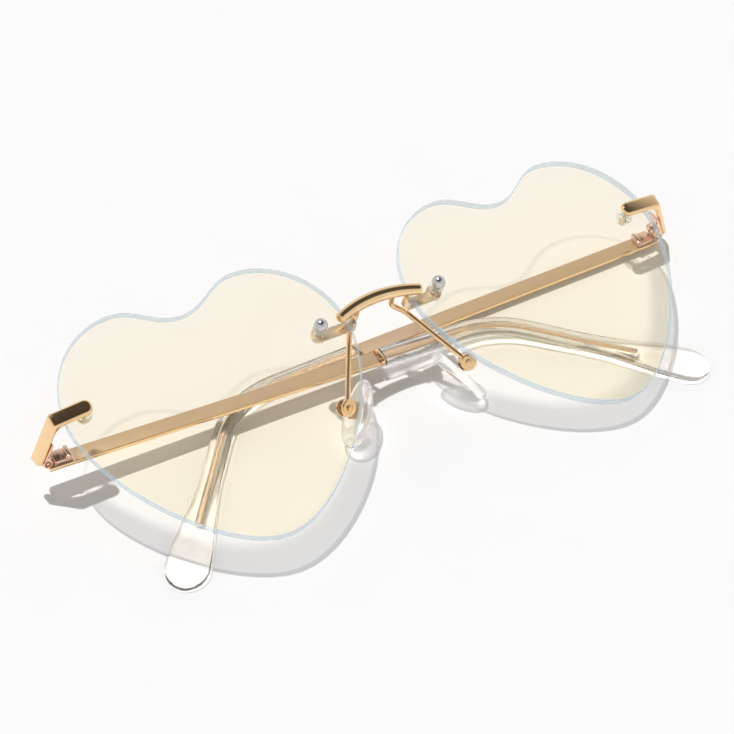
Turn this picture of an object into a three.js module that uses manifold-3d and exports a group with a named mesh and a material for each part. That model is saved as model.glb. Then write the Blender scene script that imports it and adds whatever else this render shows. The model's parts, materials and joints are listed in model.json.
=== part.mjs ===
// Rimless eyeglasses with heart lenses, folded and lying on a table.
// Millimetres, +Z up, +X along the frame, +Y from the lens points toward the lens lobes.
// Every paired piece is drawn for the +X end and mirrored for the other end.
import * as THREE from 'three';
import { mergeVertices } from 'three/addons/utils/BufferGeometryUtils.js';
import Module from 'manifold-3d';

const wasm = await Module();
wasm.setup();

const DEG = Math.PI / 180;

// Clearances.
const SEAT_GAP = 0.25; // between pieces that rest on each other
const RUN_GAP = 0.3; // between pieces that turn on each other

// Lenses: flat hearts, set back from the frame line by a tilt and a wrap.
const LENS_HALF_WIDTH = 31.3;
const LENS_WIDEST_Y = 9.0;
const LENS_LOBE_X = 13.7;
const LENS_LOBE_Y = 29.1;
const LENS_NOTCH_Y = 23.7;
const LENS_NOTCH_ROUND = 5.7; // half width of the smooth valley between the lobes
const LENS_POINT_Y = -29.2;
const LENS_POINT_ROUND = 12.8; // reach of the rounded lower point
const LENS_SIDE_REACH = 14.6; // reach of the curve below the widest line
const LENS_THICKNESS = 1.8;
const LENS_CHAMFER = 0.2;
const LENS_SPACING = 15.6; // clear distance between the two lenses
const LENS_TILT = 14 * DEG;
const LENS_WRAP = 3.9 * DEG;
const LENS_TWIST = 2.3 * DEG; // turn of each heart in its own plane

// Bridge: an arched round bar in front of the lenses, with a lug behind each lens.
const BRIDGE_RADIUS = 1.15;
const BRIDGE_OVERLAP = 2.2; // how far the bar's ends lie over the lenses
const BRIDGE_RISE = 2.0;
const BRIDGE_END_Y = 10.1;
const LUG_THICKNESS = 0.8;
const LUG_WIDTH = 2.2;
const LUG_EYE_RADIUS = 1.7;
const LUG_EDGE_GAP = 0.5; // from the lens edge to the lug's upright
const BRIDGE_SCREW_INSET = 6.4; // from the lens edge line to the screw
const BRIDGE_SCREW_Y = 10.1;

// Lens screws, washers and nuts.
const SCREW_RADIUS = 0.55;
const SCREW_HEAD_RADIUS = 1.15;
const SCREW_HEAD_HEIGHT = 0.6;
const SCREW_HOLE_GAP = 0.3;
const WASHER_RADIUS = 1.6;
const WASHER_THICKNESS = 0.4;
const DOME_RADIUS = 1.25;
const DOME_WALL = 0.35; // straight wall below the round cap
const DOME_CROWN = 0.4; // metal over the end of the bore
const BUSH_RADIUS = 1.75;
const BUSH_FLANGE = 0.5;
const BUSH_NECK_RADIUS = 1.25;
const BUSH_NECK = 1.5;
const POST_TIP = 0.6; // post beyond the bush

// End pieces: a flat strip on the lens, creased and run back to the hinge.
const END_WIDTH = 3.4;
const END_THICKNESS = 1.1;
const END_POST_INSET = 4.6; // from the lens edge line to the post
const END_POST_Y = 11.0;
const END_REACH = 7.3; // from the post to the crease
const END_DEPTH = 10.0; // from the front face back to the hinge
const END_FLARE = 25 * DEG;
const END_DROOP = 4.0 * DEG; // slope of the front strip across the lens

// Hinges: three knuckles, two on the end piece and one on the temple.
const KNUCKLE_RADIUS = 1.05;
const KNUCKLE_MIDDLE = 0.9;
const HINGE_HEIGHT = 3.5;
const HINGE_SCREW_RADIUS = 0.4;
const HINGE_SCREW_HEAD = 0.8;
const HINGE_SCREW_HEAD_HEIGHT = 0.4;
const HINGE_PLATE = 0.5; // thickness of both hinge plates
const HINGE_BLOCK_LENGTH = 4.2;
const HINGE_LEAF_LENGTH = 6.0;

// Temples: a flat bar whose thin end runs inside a clear tip.
const BAR_WIDTH = 3.7;
const BAR_THICKNESS = 1.1;
const BAR_EDGE = 0.2;
const TIP_START = 76; // from the hinge axis to the clear tip
const CORE_WIDTH = 2.0;
const CORE_THIN_WIDTH = 1.1;
const CORE_THICKNESS = 0.9;
const CORE_THIN_THICKNESS = 0.7;
const CORE_FLAT_LENGTH = 13; // where the core is still flat and wide
const CORE_STOP = 16; // from the core's end to the tip's end
const COLLAR_LENGTH = 0.9;
const COLLAR_WIDTH = 4.0;
const COLLAR_THICKNESS = 2.2;
const BEND_START = 95; // from the hinge axis
const BEND_RADIUS = 21;
const BEND_ANGLE_LEFT = 40 * DEG; // the two ear bends are set by hand
const BEND_ANGLE_RIGHT = 51.5 * DEG;
const TIP_STRAIGHT = 39.5; // beyond the bend
const TIP_WIDTH = 4.3;
const TIP_THICKNESS = 2.5;
const TIP_END_WIDTH = 9.2;
const TIP_END_THICKNESS = 1.8;
const TIP_FLARE_START = 12; // beyond the bend
const TIP_ROUND = 5.0; // length of the rounded end

// Nose pads: soft pads on a small metal foot that turns in a box on a wire arm.
const PAD_LENGTH = 14.5;
const PAD_WIDTH = 7.6;
const PAD_THICKNESS = 2.4;
const PAD_X = 12.2;
const PAD_Y = -7.7;
const PAD_Z = -6.2;
const PAD_FRONTAL_ANGLE = 22 * DEG;
const PAD_TURN = 60 * DEG;
const PAD_SPIN = 28 * DEG; // turn of the pad in its own plane, its low end toward the face
const PAD_PIVOT_UP = 0.5; // pivot above the pad's middle
const PAD_PIVOT_OUT = 3.3; // pivot out from the pad's middle
const PAD_FOOT_WIDTH = 2.8;
const PAD_FOOT_LENGTH = 3.6;
const PAD_FOOT_THICKNESS = 0.7;
const PAD_EYE_RADIUS = 0.95;
const PAD_EYE_THICKNESS = 0.7;
const PAD_NECK_WIDTH = 1.0;
const PAD_SCREW_RADIUS = 0.35;
const PAD_SCREW_HEAD = 0.75;
const PAD_SCREW_HEAD_HEIGHT = 0.4;
const PAD_BOX_WALL = 0.4;
const PAD_BOX_CHEEK = 0.65;
const PAD_BOX_TOP = 0.9; // solid top that takes the wire
const PAD_WIRE_RADIUS = 0.55;
const PAD_WIRE_X = 4.1; // where the wire leaves the bridge
const PAD_WIRE_DROP = 3.9; // straight back from the bridge
const PAD_WIRE_ELBOW = new THREE.Vector3(6.9, 8.3, -1.3);
const PAD_WIRE_KNEE = new THREE.Vector3(10.6, 1.7, -2.8);

// How the folded temples lie.
const FOLD_RIGHT = 2.0 * DEG; // short of parallel to the frame
const LEAN_LEFT = 3.2 * DEG;
const LEAN_RIGHT = -0.9 * DEG;

// Sizes that follow from the ones above.
const LENS_X = LENS_SPACING / 2 + LENS_HALF_WIDTH;
const LENS_FRONT = LENS_THICKNESS / 2;
const LENS_BACK = -LENS_THICKNESS / 2;
const SCREW_HOLE_RADIUS = SCREW_RADIUS + SCREW_HOLE_GAP;
const BRIDGE_SCREW_X = -(LENS_HALF_WIDTH - BRIDGE_SCREW_INSET);
const END_POST_X = LENS_HALF_WIDTH - END_POST_INSET;
const HINGE_OFFSET = KNUCKLE_RADIUS + RUN_GAP + BAR_THICKNESS / 2; // axis to the bar's middle
const HINGE_BORE_RADIUS = HINGE_SCREW_RADIUS + RUN_GAP;
const KNUCKLE_OUTER = (HINGE_HEIGHT - KNUCKLE_MIDDLE) / 2 - RUN_GAP;
const PAD_POCKET = PAD_EYE_RADIUS + RUN_GAP;
const PAD_SLOT = PAD_EYE_THICKNESS / 2 + RUN_GAP;
const PAD_BORE = PAD_SCREW_RADIUS + RUN_GAP;
const PAD_BOX_HALF = PAD_POCKET + PAD_BOX_WALL;
const PAD_BOX_SIDE = PAD_SLOT + PAD_BOX_CHEEK;

// Materials.
const gold = { color: 0xd6a566, metalness: 1, roughness: 0.18 };
const satinGold = { color: 0xcaa078, metalness: 1, roughness: 0.3 };
const chrome = { color: 0xd2d4d8, metalness: 1, roughness: 0.06 };
const darkGold = { color: 0x9b7446, metalness: 1, roughness: 0.3 };
const tint = { color: 0xfbefd8, metalness: 0, roughness: 0.04, transparent: true, opacity: 0.4 };
const clear = { color: 0xf4f6f6, metalness: 0, roughness: 0.06, transparent: true, opacity: 0.4 };

// A triangle mesh with only positions and shared corners.
function welded(geometry) {
  const plain = geometry.clone();
  plain.deleteAttribute('normal');
  plain.deleteAttribute('uv');
  return mergeVertices(plain, 1e-4);
}

function toSolid(geometry) {
  const mesh = welded(geometry);
  return new wasm.Manifold(new wasm.Mesh({
    numProp: 3,
    vertProperties: new Float32Array(mesh.attributes.position.array),
    triVerts: new Uint32Array(mesh.index.array),
  }));
}

function toGeometry(solid) {
  const mesh = solid.getMesh();
  const geometry = new THREE.BufferGeometry();
  geometry.setAttribute('position', new THREE.BufferAttribute(new Float32Array(mesh.vertProperties), 3));
  geometry.setIndex(new THREE.BufferAttribute(new Uint32Array(mesh.triVerts), 1));
  return geometry;
}

function join(first, ...others) {
  let solid = toSolid(first);
  for (const other of others) {
    solid = solid.add(toSolid(other));
  }
  return toGeometry(solid);
}

function cut(first, ...others) {
  let solid = toSolid(first);
  for (const other of others) {
    solid = solid.subtract(toSolid(other));
  }
  return toGeometry(solid);
}

function common(first, second) {
  return toGeometry(toSolid(first).intersect(toSolid(second)));
}

// Turn every triangle over.
function turnedOver(geometry) {
  const index = geometry.index.array;
  for (let i = 0; i < index.length; i += 3) {
    const held = index[i];
    index[i] = index[i + 1];
    index[i + 1] = held;
  }
  return geometry;
}

// The same piece for the other end of the frame.
function mirrored(geometry) {
  const copy = welded(geometry);
  copy.scale(-1, 1, 1);
  return turnedOver(copy);
}

// A flat shape given a thickness along z, centred on z = 0.
function slab(shape, thickness, chamfer = 0, curveSegments = 12) {
  const geometry = new THREE.ExtrudeGeometry(shape, {
    depth: thickness - 2 * chamfer,
    curveSegments,
    bevelEnabled: chamfer > 0,
    bevelThickness: chamfer,
    bevelSize: chamfer,
    bevelOffset: -chamfer,
    bevelSegments: 1,
  });
  return geometry.translate(0, 0, -thickness / 2 + chamfer);
}

// A slab whose shape is drawn in x and z, with its thickness along y.
function crossSlab(shape, thickness, chamfer = 0, curveSegments = 12) {
  return slab(shape, thickness, chamfer, curveSegments).rotateX(Math.PI / 2);
}

function polygon(points) {
  return new THREE.Shape(points.map(([x, y]) => new THREE.Vector2(x, y)));
}

function box(x0, x1, y0, y1, z0, z1) {
  const geometry = new THREE.BoxGeometry(x1 - x0, y1 - y0, z1 - z0);
  return geometry.translate((x0 + x1) / 2, (y0 + y1) / 2, (z0 + z1) / 2);
}

// A turned piece about z: the profile is pairs of radius and height, on the axis or closed.
function turned(profile, segments = 20) {
  const points = profile.map(([radius, height]) => new THREE.Vector2(radius, height));
  return new THREE.LatheGeometry(points, segments).rotateX(Math.PI / 2);
}

function ring(innerRadius, outerRadius, bottom, top, segments = 20) {
  return turned([
    [innerRadius, bottom],
    [outerRadius, bottom],
    [outerRadius, top],
    [innerRadius, top],
    [innerRadius, bottom],
  ], segments);
}

function rod(radius, bottom, top, segments = 16) {
  return turned([[0, bottom], [radius, bottom], [radius, top], [0, top]], segments);
}

// A closed body through a row of rings of points.
function loft(rings) {
  const count = rings[0].length;
  const positions = [];
  const index = [];
  for (const points of rings) {
    for (const point of points) {
      positions.push(point.x, point.y, point.z);
    }
  }
  for (let r = 0; r < rings.length - 1; r += 1) {
    for (let i = 0; i < count; i += 1) {
      const a = r * count + i;
      const b = r * count + ((i + 1) % count);
      index.push(a, b, b + count, a, b + count, a + count);
    }
  }
  const last = (rings.length - 1) * count;
  for (let i = 1; i < count - 1; i += 1) {
    index.push(0, i + 1, i);
    index.push(last, last + i, last + i + 1);
  }
  const geometry = new THREE.BufferGeometry();
  geometry.setAttribute('position', new THREE.Float32BufferAttribute(positions, 3));
  geometry.setIndex(index);
  return toSolid(geometry).volume() < 0 ? turnedOver(geometry) : geometry;
}

// A point on a rounded rectangle that is between an ellipse and a box.
function squircle(angle, width, height, power = 3.2) {
  const c = Math.cos(angle);
  const s = Math.sin(angle);
  return [
    Math.sign(c) * Math.pow(Math.abs(c), 2 / power) * width / 2,
    Math.sign(s) * Math.pow(Math.abs(s), 2 / power) * height / 2,
  ];
}

// Heart outline: three curves on each side, from the point to the widest line, over the lobe, to the notch.
function heartShape() {
  const lobeRise = LENS_LOBE_Y - LENS_WIDEST_Y;
  const lobeRun = LENS_HALF_WIDTH - LENS_LOBE_X;
  const round = 0.552;
  const shape = new THREE.Shape();
  shape.moveTo(0, LENS_POINT_Y);
  shape.bezierCurveTo(
    LENS_POINT_ROUND, LENS_POINT_Y,
    LENS_HALF_WIDTH, LENS_WIDEST_Y - LENS_SIDE_REACH,
    LENS_HALF_WIDTH, LENS_WIDEST_Y,
  );
  shape.bezierCurveTo(
    LENS_HALF_WIDTH, LENS_WIDEST_Y + round * lobeRise,
    LENS_LOBE_X + round * lobeRun, LENS_LOBE_Y,
    LENS_LOBE_X, LENS_LOBE_Y,
  );
  shape.bezierCurveTo(
    LENS_LOBE_X - LENS_NOTCH_ROUND, LENS_LOBE_Y,
    LENS_NOTCH_ROUND, LENS_NOTCH_Y,
    0, LENS_NOTCH_Y,
  );
  shape.bezierCurveTo(
    -LENS_NOTCH_ROUND, LENS_NOTCH_Y,
    -LENS_LOBE_X + LENS_NOTCH_ROUND, LENS_LOBE_Y,
    -LENS_LOBE_X, LENS_LOBE_Y,
  );
  shape.bezierCurveTo(
    -LENS_LOBE_X - round * lobeRun, LENS_LOBE_Y,
    -LENS_HALF_WIDTH, LENS_WIDEST_Y + round * lobeRise,
    -LENS_HALF_WIDTH, LENS_WIDEST_Y,
  );
  shape.bezierCurveTo(
    -LENS_HALF_WIDTH, LENS_WIDEST_Y - LENS_SIDE_REACH,
    -LENS_POINT_ROUND, LENS_POINT_Y,
    0, LENS_POINT_Y,
  );
  return shape;
}

function lens() {
  const heart = slab(heartShape(), LENS_THICKNESS, LENS_CHAMFER, 14);
  const bridgeHole = rod(SCREW_HOLE_RADIUS, LENS_BACK - 1, LENS_FRONT + 1);
  const endHole = bridgeHole.clone();
  bridgeHole.translate(BRIDGE_SCREW_X, BRIDGE_SCREW_Y, 0);
  endHole.translate(END_POST_X, END_POST_Y, 0);
  return cut(heart, bridgeHole, endHole);
}

// Frames that place the lens and the end piece of the +X end.
function turnMatrix(x, y, z, order) {
  return new THREE.Matrix4().makeRotationFromEuler(new THREE.Euler(x, y, z, order));
}

const tiltMatrix = turnMatrix(LENS_TILT, 0, 0, 'XYZ');
const lensMatrix = turnMatrix(0, LENS_WRAP, LENS_TWIST, 'YXZ').setPosition(LENS_X, 0, 0);
const endMatrix = turnMatrix(0, 0, -END_DROOP, 'XYZ')
  .setPosition(END_POST_X, END_POST_Y, LENS_FRONT + SEAT_GAP);
const padMatrix = turnMatrix(0, PAD_TURN, PAD_FRONTAL_ANGLE, 'ZYX')
  .multiply(turnMatrix(0, 0, PAD_SPIN, 'XYZ'))
  .setPosition(PAD_X, PAD_Y, PAD_Z);

// Bridge bar: an arc between its two ends, level with the front of the lenses.
const bridgeEnd = new THREE.Vector3(
  -LENS_HALF_WIDTH + BRIDGE_OVERLAP,
  BRIDGE_END_Y,
  LENS_FRONT + SEAT_GAP + BRIDGE_RADIUS,
).applyMatrix4(lensMatrix);

class BridgeArc extends THREE.Curve {
  getPoint(t, target = new THREE.Vector3()) {
    const share = 2 * t - 1;
    return target.set(
      share * bridgeEnd.x,
      bridgeEnd.y + BRIDGE_RISE * (1 - share * share),
      bridgeEnd.z,
    );
  }
}

const bridgeArc = new BridgeArc();

function bridgeHeightAt(x) {
  const share = x / bridgeEnd.x;
  return bridgeEnd.y + BRIDGE_RISE * (1 - share * share);
}

function bridge() {
  const section = new THREE.Shape();
  section.absarc(0, 0, BRIDGE_RADIUS, 0, 2 * Math.PI);
  return new THREE.ExtrudeGeometry(section, {
    steps: 20,
    curveSegments: 7,
    extrudePath: bridgeArc,
    bevelEnabled: false,
  });
}

// Lug: from under the bridge round the lens edge to an eye behind the lens.
function bridgeLug() {
  const upright = -LENS_HALF_WIDTH - LUG_EDGE_GAP;
  const back = LENS_BACK - SEAT_GAP;
  const strip = polygon([
    [upright - LUG_THICKNESS, back - LUG_THICKNESS],
    [BRIDGE_SCREW_X, back - LUG_THICKNESS],
    [BRIDGE_SCREW_X, back],
    [upright, back],
    [upright, LENS_FRONT],
    [upright - LUG_THICKNESS, LENS_FRONT],
  ]);
  const rootX = LENS_X + (upright - LUG_THICKNESS / 2);
  const stripMiddle = Math.min(bridgeHeightAt(rootX) - 0.3, BRIDGE_SCREW_Y + LUG_EYE_RADIUS - LUG_WIDTH / 2);
  const bar = crossSlab(strip, LUG_WIDTH).translate(0, stripMiddle, 0);
  const eye = rod(LUG_EYE_RADIUS, back - LUG_THICKNESS, back, 20).translate(BRIDGE_SCREW_X, BRIDGE_SCREW_Y, 0);
  const hole = rod(SCREW_HOLE_RADIUS, back - 3, back + 3).translate(BRIDGE_SCREW_X, BRIDGE_SCREW_Y, 0);
  return cut(join(bar, eye), hole);
}

// Screw from behind the lug up into the dome nut.
const bridgeScrewSeat = LENS_BACK - SEAT_GAP - LUG_THICKNESS - SEAT_GAP;
const domeSeat = LENS_FRONT + SEAT_GAP + WASHER_THICKNESS + SEAT_GAP;
const domeBore = DOME_WALL + DOME_RADIUS - DOME_CROWN;

function bridgeScrew() {
  const slot = box(-2, 2, -0.15, 0.15, bridgeScrewSeat - SCREW_HEAD_HEIGHT - 1, bridgeScrewSeat - SCREW_HEAD_HEIGHT / 2);
  const screw = turned([
    [0, bridgeScrewSeat - SCREW_HEAD_HEIGHT],
    [SCREW_HEAD_RADIUS * 0.8, bridgeScrewSeat - SCREW_HEAD_HEIGHT],
    [SCREW_HEAD_RADIUS, bridgeScrewSeat - SCREW_HEAD_HEIGHT * 0.6],
    [SCREW_HEAD_RADIUS, bridgeScrewSeat],
    [SCREW_RADIUS, bridgeScrewSeat],
    [SCREW_RADIUS, domeSeat + domeBore - SEAT_GAP],
    [0, domeSeat + domeBore - SEAT_GAP],
  ]);
  return cut(screw, slot);
}

function bridgeNut() {
  const bore = SCREW_RADIUS + SEAT_GAP;
  const profile = [[0, domeBore], [bore, domeBore], [bore, 0], [DOME_RADIUS, 0], [DOME_RADIUS, DOME_WALL]];
  const steps = 6;
  for (let i = 1; i < steps; i += 1) {
    const angle = i / steps * Math.PI / 2;
    profile.push([DOME_RADIUS * Math.cos(angle), DOME_WALL + DOME_RADIUS * Math.sin(angle)]);
  }
  profile.push([0, DOME_WALL + DOME_RADIUS]);
  return turned(profile, 20).translate(0, 0, domeSeat);
}

function bridgeWasher() {
  const bottom = LENS_FRONT + SEAT_GAP;
  return ring(SCREW_HOLE_RADIUS, WASHER_RADIUS, bottom, bottom + WASHER_THICKNESS);
}

// Post soldered to the end piece, and the clear bush pressed on it behind the lens.
const bushSeat = LENS_BACK - SEAT_GAP;
const postBottom = bushSeat - BUSH_FLANGE - BUSH_NECK - POST_TIP;

function endPost() {
  return turned([
    [0, postBottom],
    [SCREW_RADIUS * 0.6, postBottom],
    [SCREW_RADIUS, postBottom + 0.3],
    [SCREW_RADIUS, LENS_FRONT],
    [0, LENS_FRONT],
  ]);
}

function endBush() {
  const flange = bushSeat - BUSH_FLANGE;
  const neck = flange - BUSH_NECK;
  return turned([
    [SCREW_HOLE_RADIUS, neck],
    [BUSH_NECK_RADIUS, neck],
    [BUSH_NECK_RADIUS, flange],
    [BUSH_RADIUS, flange],
    [BUSH_RADIUS, bushSeat],
    [SCREW_HOLE_RADIUS, bushSeat],
    [SCREW_HOLE_RADIUS, neck],
  ]);
}

// End piece, drawn about the post with its back on z = 0. The side strip leans so that it runs
// straight back from the tilted lens.
const endRear = END_THICKNESS - END_DEPTH;

function endOuterX(z) {
  return END_REACH + (END_THICKNESS - z) * Math.tan(END_FLARE);
}

function endInnerX(z) {
  return endOuterX(z) - END_THICKNESS / Math.cos(END_FLARE);
}

const endToFrame = tiltMatrix.clone().multiply(lensMatrix).multiply(endMatrix);
const endRearMiddle = new THREE.Vector3(
  (endOuterX(endRear) + endInnerX(endRear)) / 2,
  Math.tan(LENS_TILT) * endRear,
  endRear,
).applyMatrix4(endToFrame);
const hingePoint = endRearMiddle.clone().add(new THREE.Vector3(-HINGE_OFFSET, 0, -RUN_GAP));

function endPiece() {
  const overrun = endRear - 2;
  const half = END_WIDTH / 2;
  const side = polygon([
    [-half, 0],
    [endInnerX(0), 0],
    [endInnerX(overrun), overrun],
    [endOuterX(overrun), overrun],
    [endOuterX(END_THICKNESS), END_THICKNESS],
    [-half, END_THICKNESS],
  ]);
  const plan = new THREE.Shape();
  plan.absarc(0, 0, half, Math.PI / 2, 1.5 * Math.PI);
  plan.lineTo(endOuterX(overrun) + 1, -half);
  plan.lineTo(endOuterX(overrun) + 1, half);
  plan.closePath();
  const strip = common(crossSlab(side, END_WIDTH + 1), slab(plan, 40, 0, 10));
  const position = strip.attributes.position;
  for (let i = 0; i < position.count; i += 1) {
    const behind = Math.min(0, position.getZ(i));
    position.setY(i, position.getY(i) + Math.tan(LENS_TILT) * behind);
  }
  const trim = box(-10, 10, -10, 10, -10, 0);
  trim.translate(endRearMiddle.x, endRearMiddle.y, endRearMiddle.z);
  trim.applyMatrix4(endToFrame.clone().invert());
  return cut(strip, trim);
}

// Hinge pieces are drawn about the hinge axis, which is y. x points outward, z to the front.
const sideAngle = END_FLARE - LENS_WRAP;

// A point a given distance from the axis toward the side strip, and along the strip.
function sidePoint(out, along) {
  return [
    out * Math.cos(sideAngle) - along * Math.sin(sideAngle),
    out * Math.sin(sideAngle) + along * Math.cos(sideAngle),
  ];
}

function knuckle(radius, height, middle) {
  return new THREE.CylinderGeometry(radius, radius, height, 20).translate(0, middle, 0);
}

const knuckleOuterMiddle = HINGE_HEIGHT / 2 - KNUCKLE_OUTER / 2;

function hingeBlock() {
  const strip = HINGE_OFFSET - END_THICKNESS / 2 / Math.cos(END_FLARE);
  const face = strip * Math.cos(sideAngle) + RUN_GAP * Math.sin(sideAngle) - SEAT_GAP;
  const clear = KNUCKLE_RADIUS + RUN_GAP;
  const plate = polygon([
    sidePoint(face - HINGE_PLATE, clear),
    sidePoint(face, clear),
    sidePoint(face, clear + HINGE_BLOCK_LENGTH),
    sidePoint(face - HINGE_PLATE, clear + HINGE_BLOCK_LENGTH - HINGE_PLATE),
  ]);
  const web = polygon([
    sidePoint(-KNUCKLE_RADIUS * 0.7, 0),
    sidePoint(KNUCKLE_RADIUS * 0.98, 0),
    sidePoint(face, clear + HINGE_PLATE),
    sidePoint(face - HINGE_PLATE, clear + HINGE_PLATE),
  ]);
  const pieces = [];
  for (const end of [-1, 1]) {
    pieces.push(crossSlab(web, KNUCKLE_OUTER).translate(0, end * knuckleOuterMiddle, 0));
    pieces.push(knuckle(KNUCKLE_RADIUS, KNUCKLE_OUTER, end * knuckleOuterMiddle));
  }
  return cut(join(crossSlab(plate, HINGE_HEIGHT), ...pieces), knuckle(HINGE_BORE_RADIUS, 2 * HINGE_HEIGHT, 0));
}

// The folded temple runs along -x behind the axis.
function hingeLeaf() {
  const seat = -HINGE_OFFSET + BAR_THICKNESS / 2 + SEAT_GAP;
  const clear = KNUCKLE_RADIUS + RUN_GAP;
  const plate = polygon([
    [-clear, seat],
    [-clear, seat + HINGE_PLATE],
    [-clear - HINGE_LEAF_LENGTH + HINGE_PLATE, seat + HINGE_PLATE],
    [-clear - HINGE_LEAF_LENGTH, seat],
  ]);
  const web = polygon([
    [0, -KNUCKLE_RADIUS * 0.98],
    [0, KNUCKLE_RADIUS * 0.7],
    [-clear - HINGE_PLATE, seat + HINGE_PLATE],
    [-clear - HINGE_PLATE, seat],
  ]);
  const body = join(
    crossSlab(plate, BAR_WIDTH - 2 * BAR_EDGE),
    crossSlab(web, KNUCKLE_MIDDLE),
    knuckle(KNUCKLE_RADIUS, KNUCKLE_MIDDLE, 0),
  );
  return cut(body, knuckle(HINGE_BORE_RADIUS, 2 * HINGE_HEIGHT, 0));
}

function hingeScrew() {
  const seat = HINGE_HEIGHT / 2 + SEAT_GAP;
  const top = seat + HINGE_SCREW_HEAD_HEIGHT;
  const screw = turned([
    [0, -HINGE_HEIGHT / 2],
    [HINGE_SCREW_RADIUS, -HINGE_HEIGHT / 2],
    [HINGE_SCREW_RADIUS, seat],
    [HINGE_SCREW_HEAD, seat],
    [HINGE_SCREW_HEAD, top],
    [0, top],
  ], 16);
  const slot = box(-2, 2, -0.12, 0.12, top - HINGE_SCREW_HEAD_HEIGHT / 2, top + 1);
  return cut(screw, slot).rotateX(-Math.PI / 2);
}

// The temple's middle line: straight, the ear bend, straight again.
function templeLine(bend) {
  const bendEnd = BEND_START + BEND_RADIUS * bend;
  const station = (distance) => {
    const angle = THREE.MathUtils.clamp((distance - BEND_START) / BEND_RADIUS, 0, bend);
    const before = Math.min(distance, BEND_START);
    const beyond = Math.max(distance - bendEnd, 0);
    return {
      x: -(before + BEND_RADIUS * Math.sin(angle) + beyond * Math.cos(angle)),
      y: -(BEND_RADIUS * (1 - Math.cos(angle)) + beyond * Math.sin(angle)),
      angle,
    };
  };
  return { station, bendEnd, tipEnd: bendEnd + TIP_STRAIGHT };
}

// A ring across the temple, with its outer face on a chosen level.
function templeRing(line, distance, width, thickness, bottom, sides, power = 3.2) {
  const { x, y, angle } = line.station(distance);
  const points = [];
  for (let i = 0; i < sides; i += 1) {
    const [across, up] = squircle((i + 0.5) / sides * 2 * Math.PI, width, thickness, power);
    points.push(new THREE.Vector3(
      x - across * Math.sin(angle),
      y + across * Math.cos(angle),
      bottom + thickness / 2 + up,
    ));
  }
  return points;
}

// Places along the temple with rings: close together only in the bend and at the flared end.
function templePlaces(line, start, end) {
  const places = [start, start + CORE_FLAT_LENGTH / 2, start + CORE_FLAT_LENGTH];
  for (let i = 0; i <= 8; i += 1) {
    places.push(BEND_START + (line.bendEnd - BEND_START) * i / 8);
  }
  for (let i = 1; i <= 6; i += 1) {
    places.push(line.bendEnd + (TIP_STRAIGHT - TIP_ROUND) * i / 6);
  }
  return places.filter((place) => place >= start && place < end - 0.5).concat([end]);
}

const tipBottom = -HINGE_OFFSET - TIP_THICKNESS / 2;

// How far the core has gone from flat and wide to thin, from 0 to 1.
function coreShare(distance) {
  const share = (distance - TIP_START - CORE_FLAT_LENGTH / 2) / CORE_FLAT_LENGTH;
  return THREE.MathUtils.clamp(share, 0, 1);
}

function tipThickness(line, distance) {
  const share = (distance - BEND_START) / (line.tipEnd - TIP_ROUND - BEND_START);
  return THREE.MathUtils.lerp(TIP_THICKNESS, TIP_END_THICKNESS, THREE.MathUtils.clamp(share, 0, 1));
}

// The core stays in the middle of the clear tip's thickness.
function coreBody(line, start, end, gap) {
  return loft(templePlaces(line, start, end).map((place) => {
    const share = coreShare(place);
    const width = THREE.MathUtils.lerp(CORE_WIDTH, CORE_THIN_WIDTH, share) + 2 * gap;
    const thickness = THREE.MathUtils.lerp(CORE_THICKNESS, CORE_THIN_THICKNESS, share) + 2 * gap;
    const middle = tipBottom + tipThickness(line, place) / 2;
    return templeRing(line, place, width, thickness, middle - thickness / 2, 8);
  }));
}

const collarFront = TIP_START - SEAT_GAP - COLLAR_LENGTH;

function templeBar(line) {
  const end = -(collarFront - SEAT_GAP);
  const outline = polygon([
    [-RUN_GAP, -BAR_WIDTH / 2],
    [-RUN_GAP, BAR_WIDTH / 2],
    [end, BAR_WIDTH / 2],
    [end, -BAR_WIDTH / 2],
  ]);
  const bar = slab(outline, BAR_THICKNESS, BAR_EDGE).translate(0, 0, -HINGE_OFFSET);
  return join(bar, coreBody(line, collarFront - 1, line.tipEnd - CORE_STOP, 0));
}

// Collar on the core, a shoulder between the bar and the clear tip.
function tipCollar(line) {
  const bottom = -HINGE_OFFSET - COLLAR_THICKNESS / 2;
  const body = loft([collarFront, collarFront + COLLAR_LENGTH].map(
    (place) => templeRing(line, place, COLLAR_WIDTH, COLLAR_THICKNESS, bottom, 16, 4),
  ));
  return cut(body, coreBody(line, collarFront - 1, TIP_START + 2, RUN_GAP));
}

// Clear tip: a sleeve over the core, with a flat outer face and a wide rounded end.
function templeTip(line) {
  const roundStart = line.tipEnd - TIP_ROUND;
  const width = (place) => THREE.MathUtils.lerp(
    TIP_WIDTH,
    TIP_END_WIDTH,
    THREE.MathUtils.smoothstep(place, line.bendEnd + TIP_FLARE_START, roundStart),
  );
  const rings = templePlaces(line, TIP_START, roundStart).map(
    (place) => templeRing(line, place, width(place), tipThickness(line, place), tipBottom, 14),
  );
  for (const share of [0.35, 0.62, 0.82, 0.94, 0.99]) {
    const place = roundStart + TIP_ROUND * share;
    const closing = Math.sqrt(1 - share * share);
    const thinner = TIP_END_THICKNESS * THREE.MathUtils.lerp(1, 0.6, share);
    rings.push(templeRing(line, place, TIP_END_WIDTH * closing, thinner, tipBottom, 14));
  }
  return cut(loft(rings), coreBody(line, TIP_START - 1, line.tipEnd - CORE_STOP + RUN_GAP, RUN_GAP));
}

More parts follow.
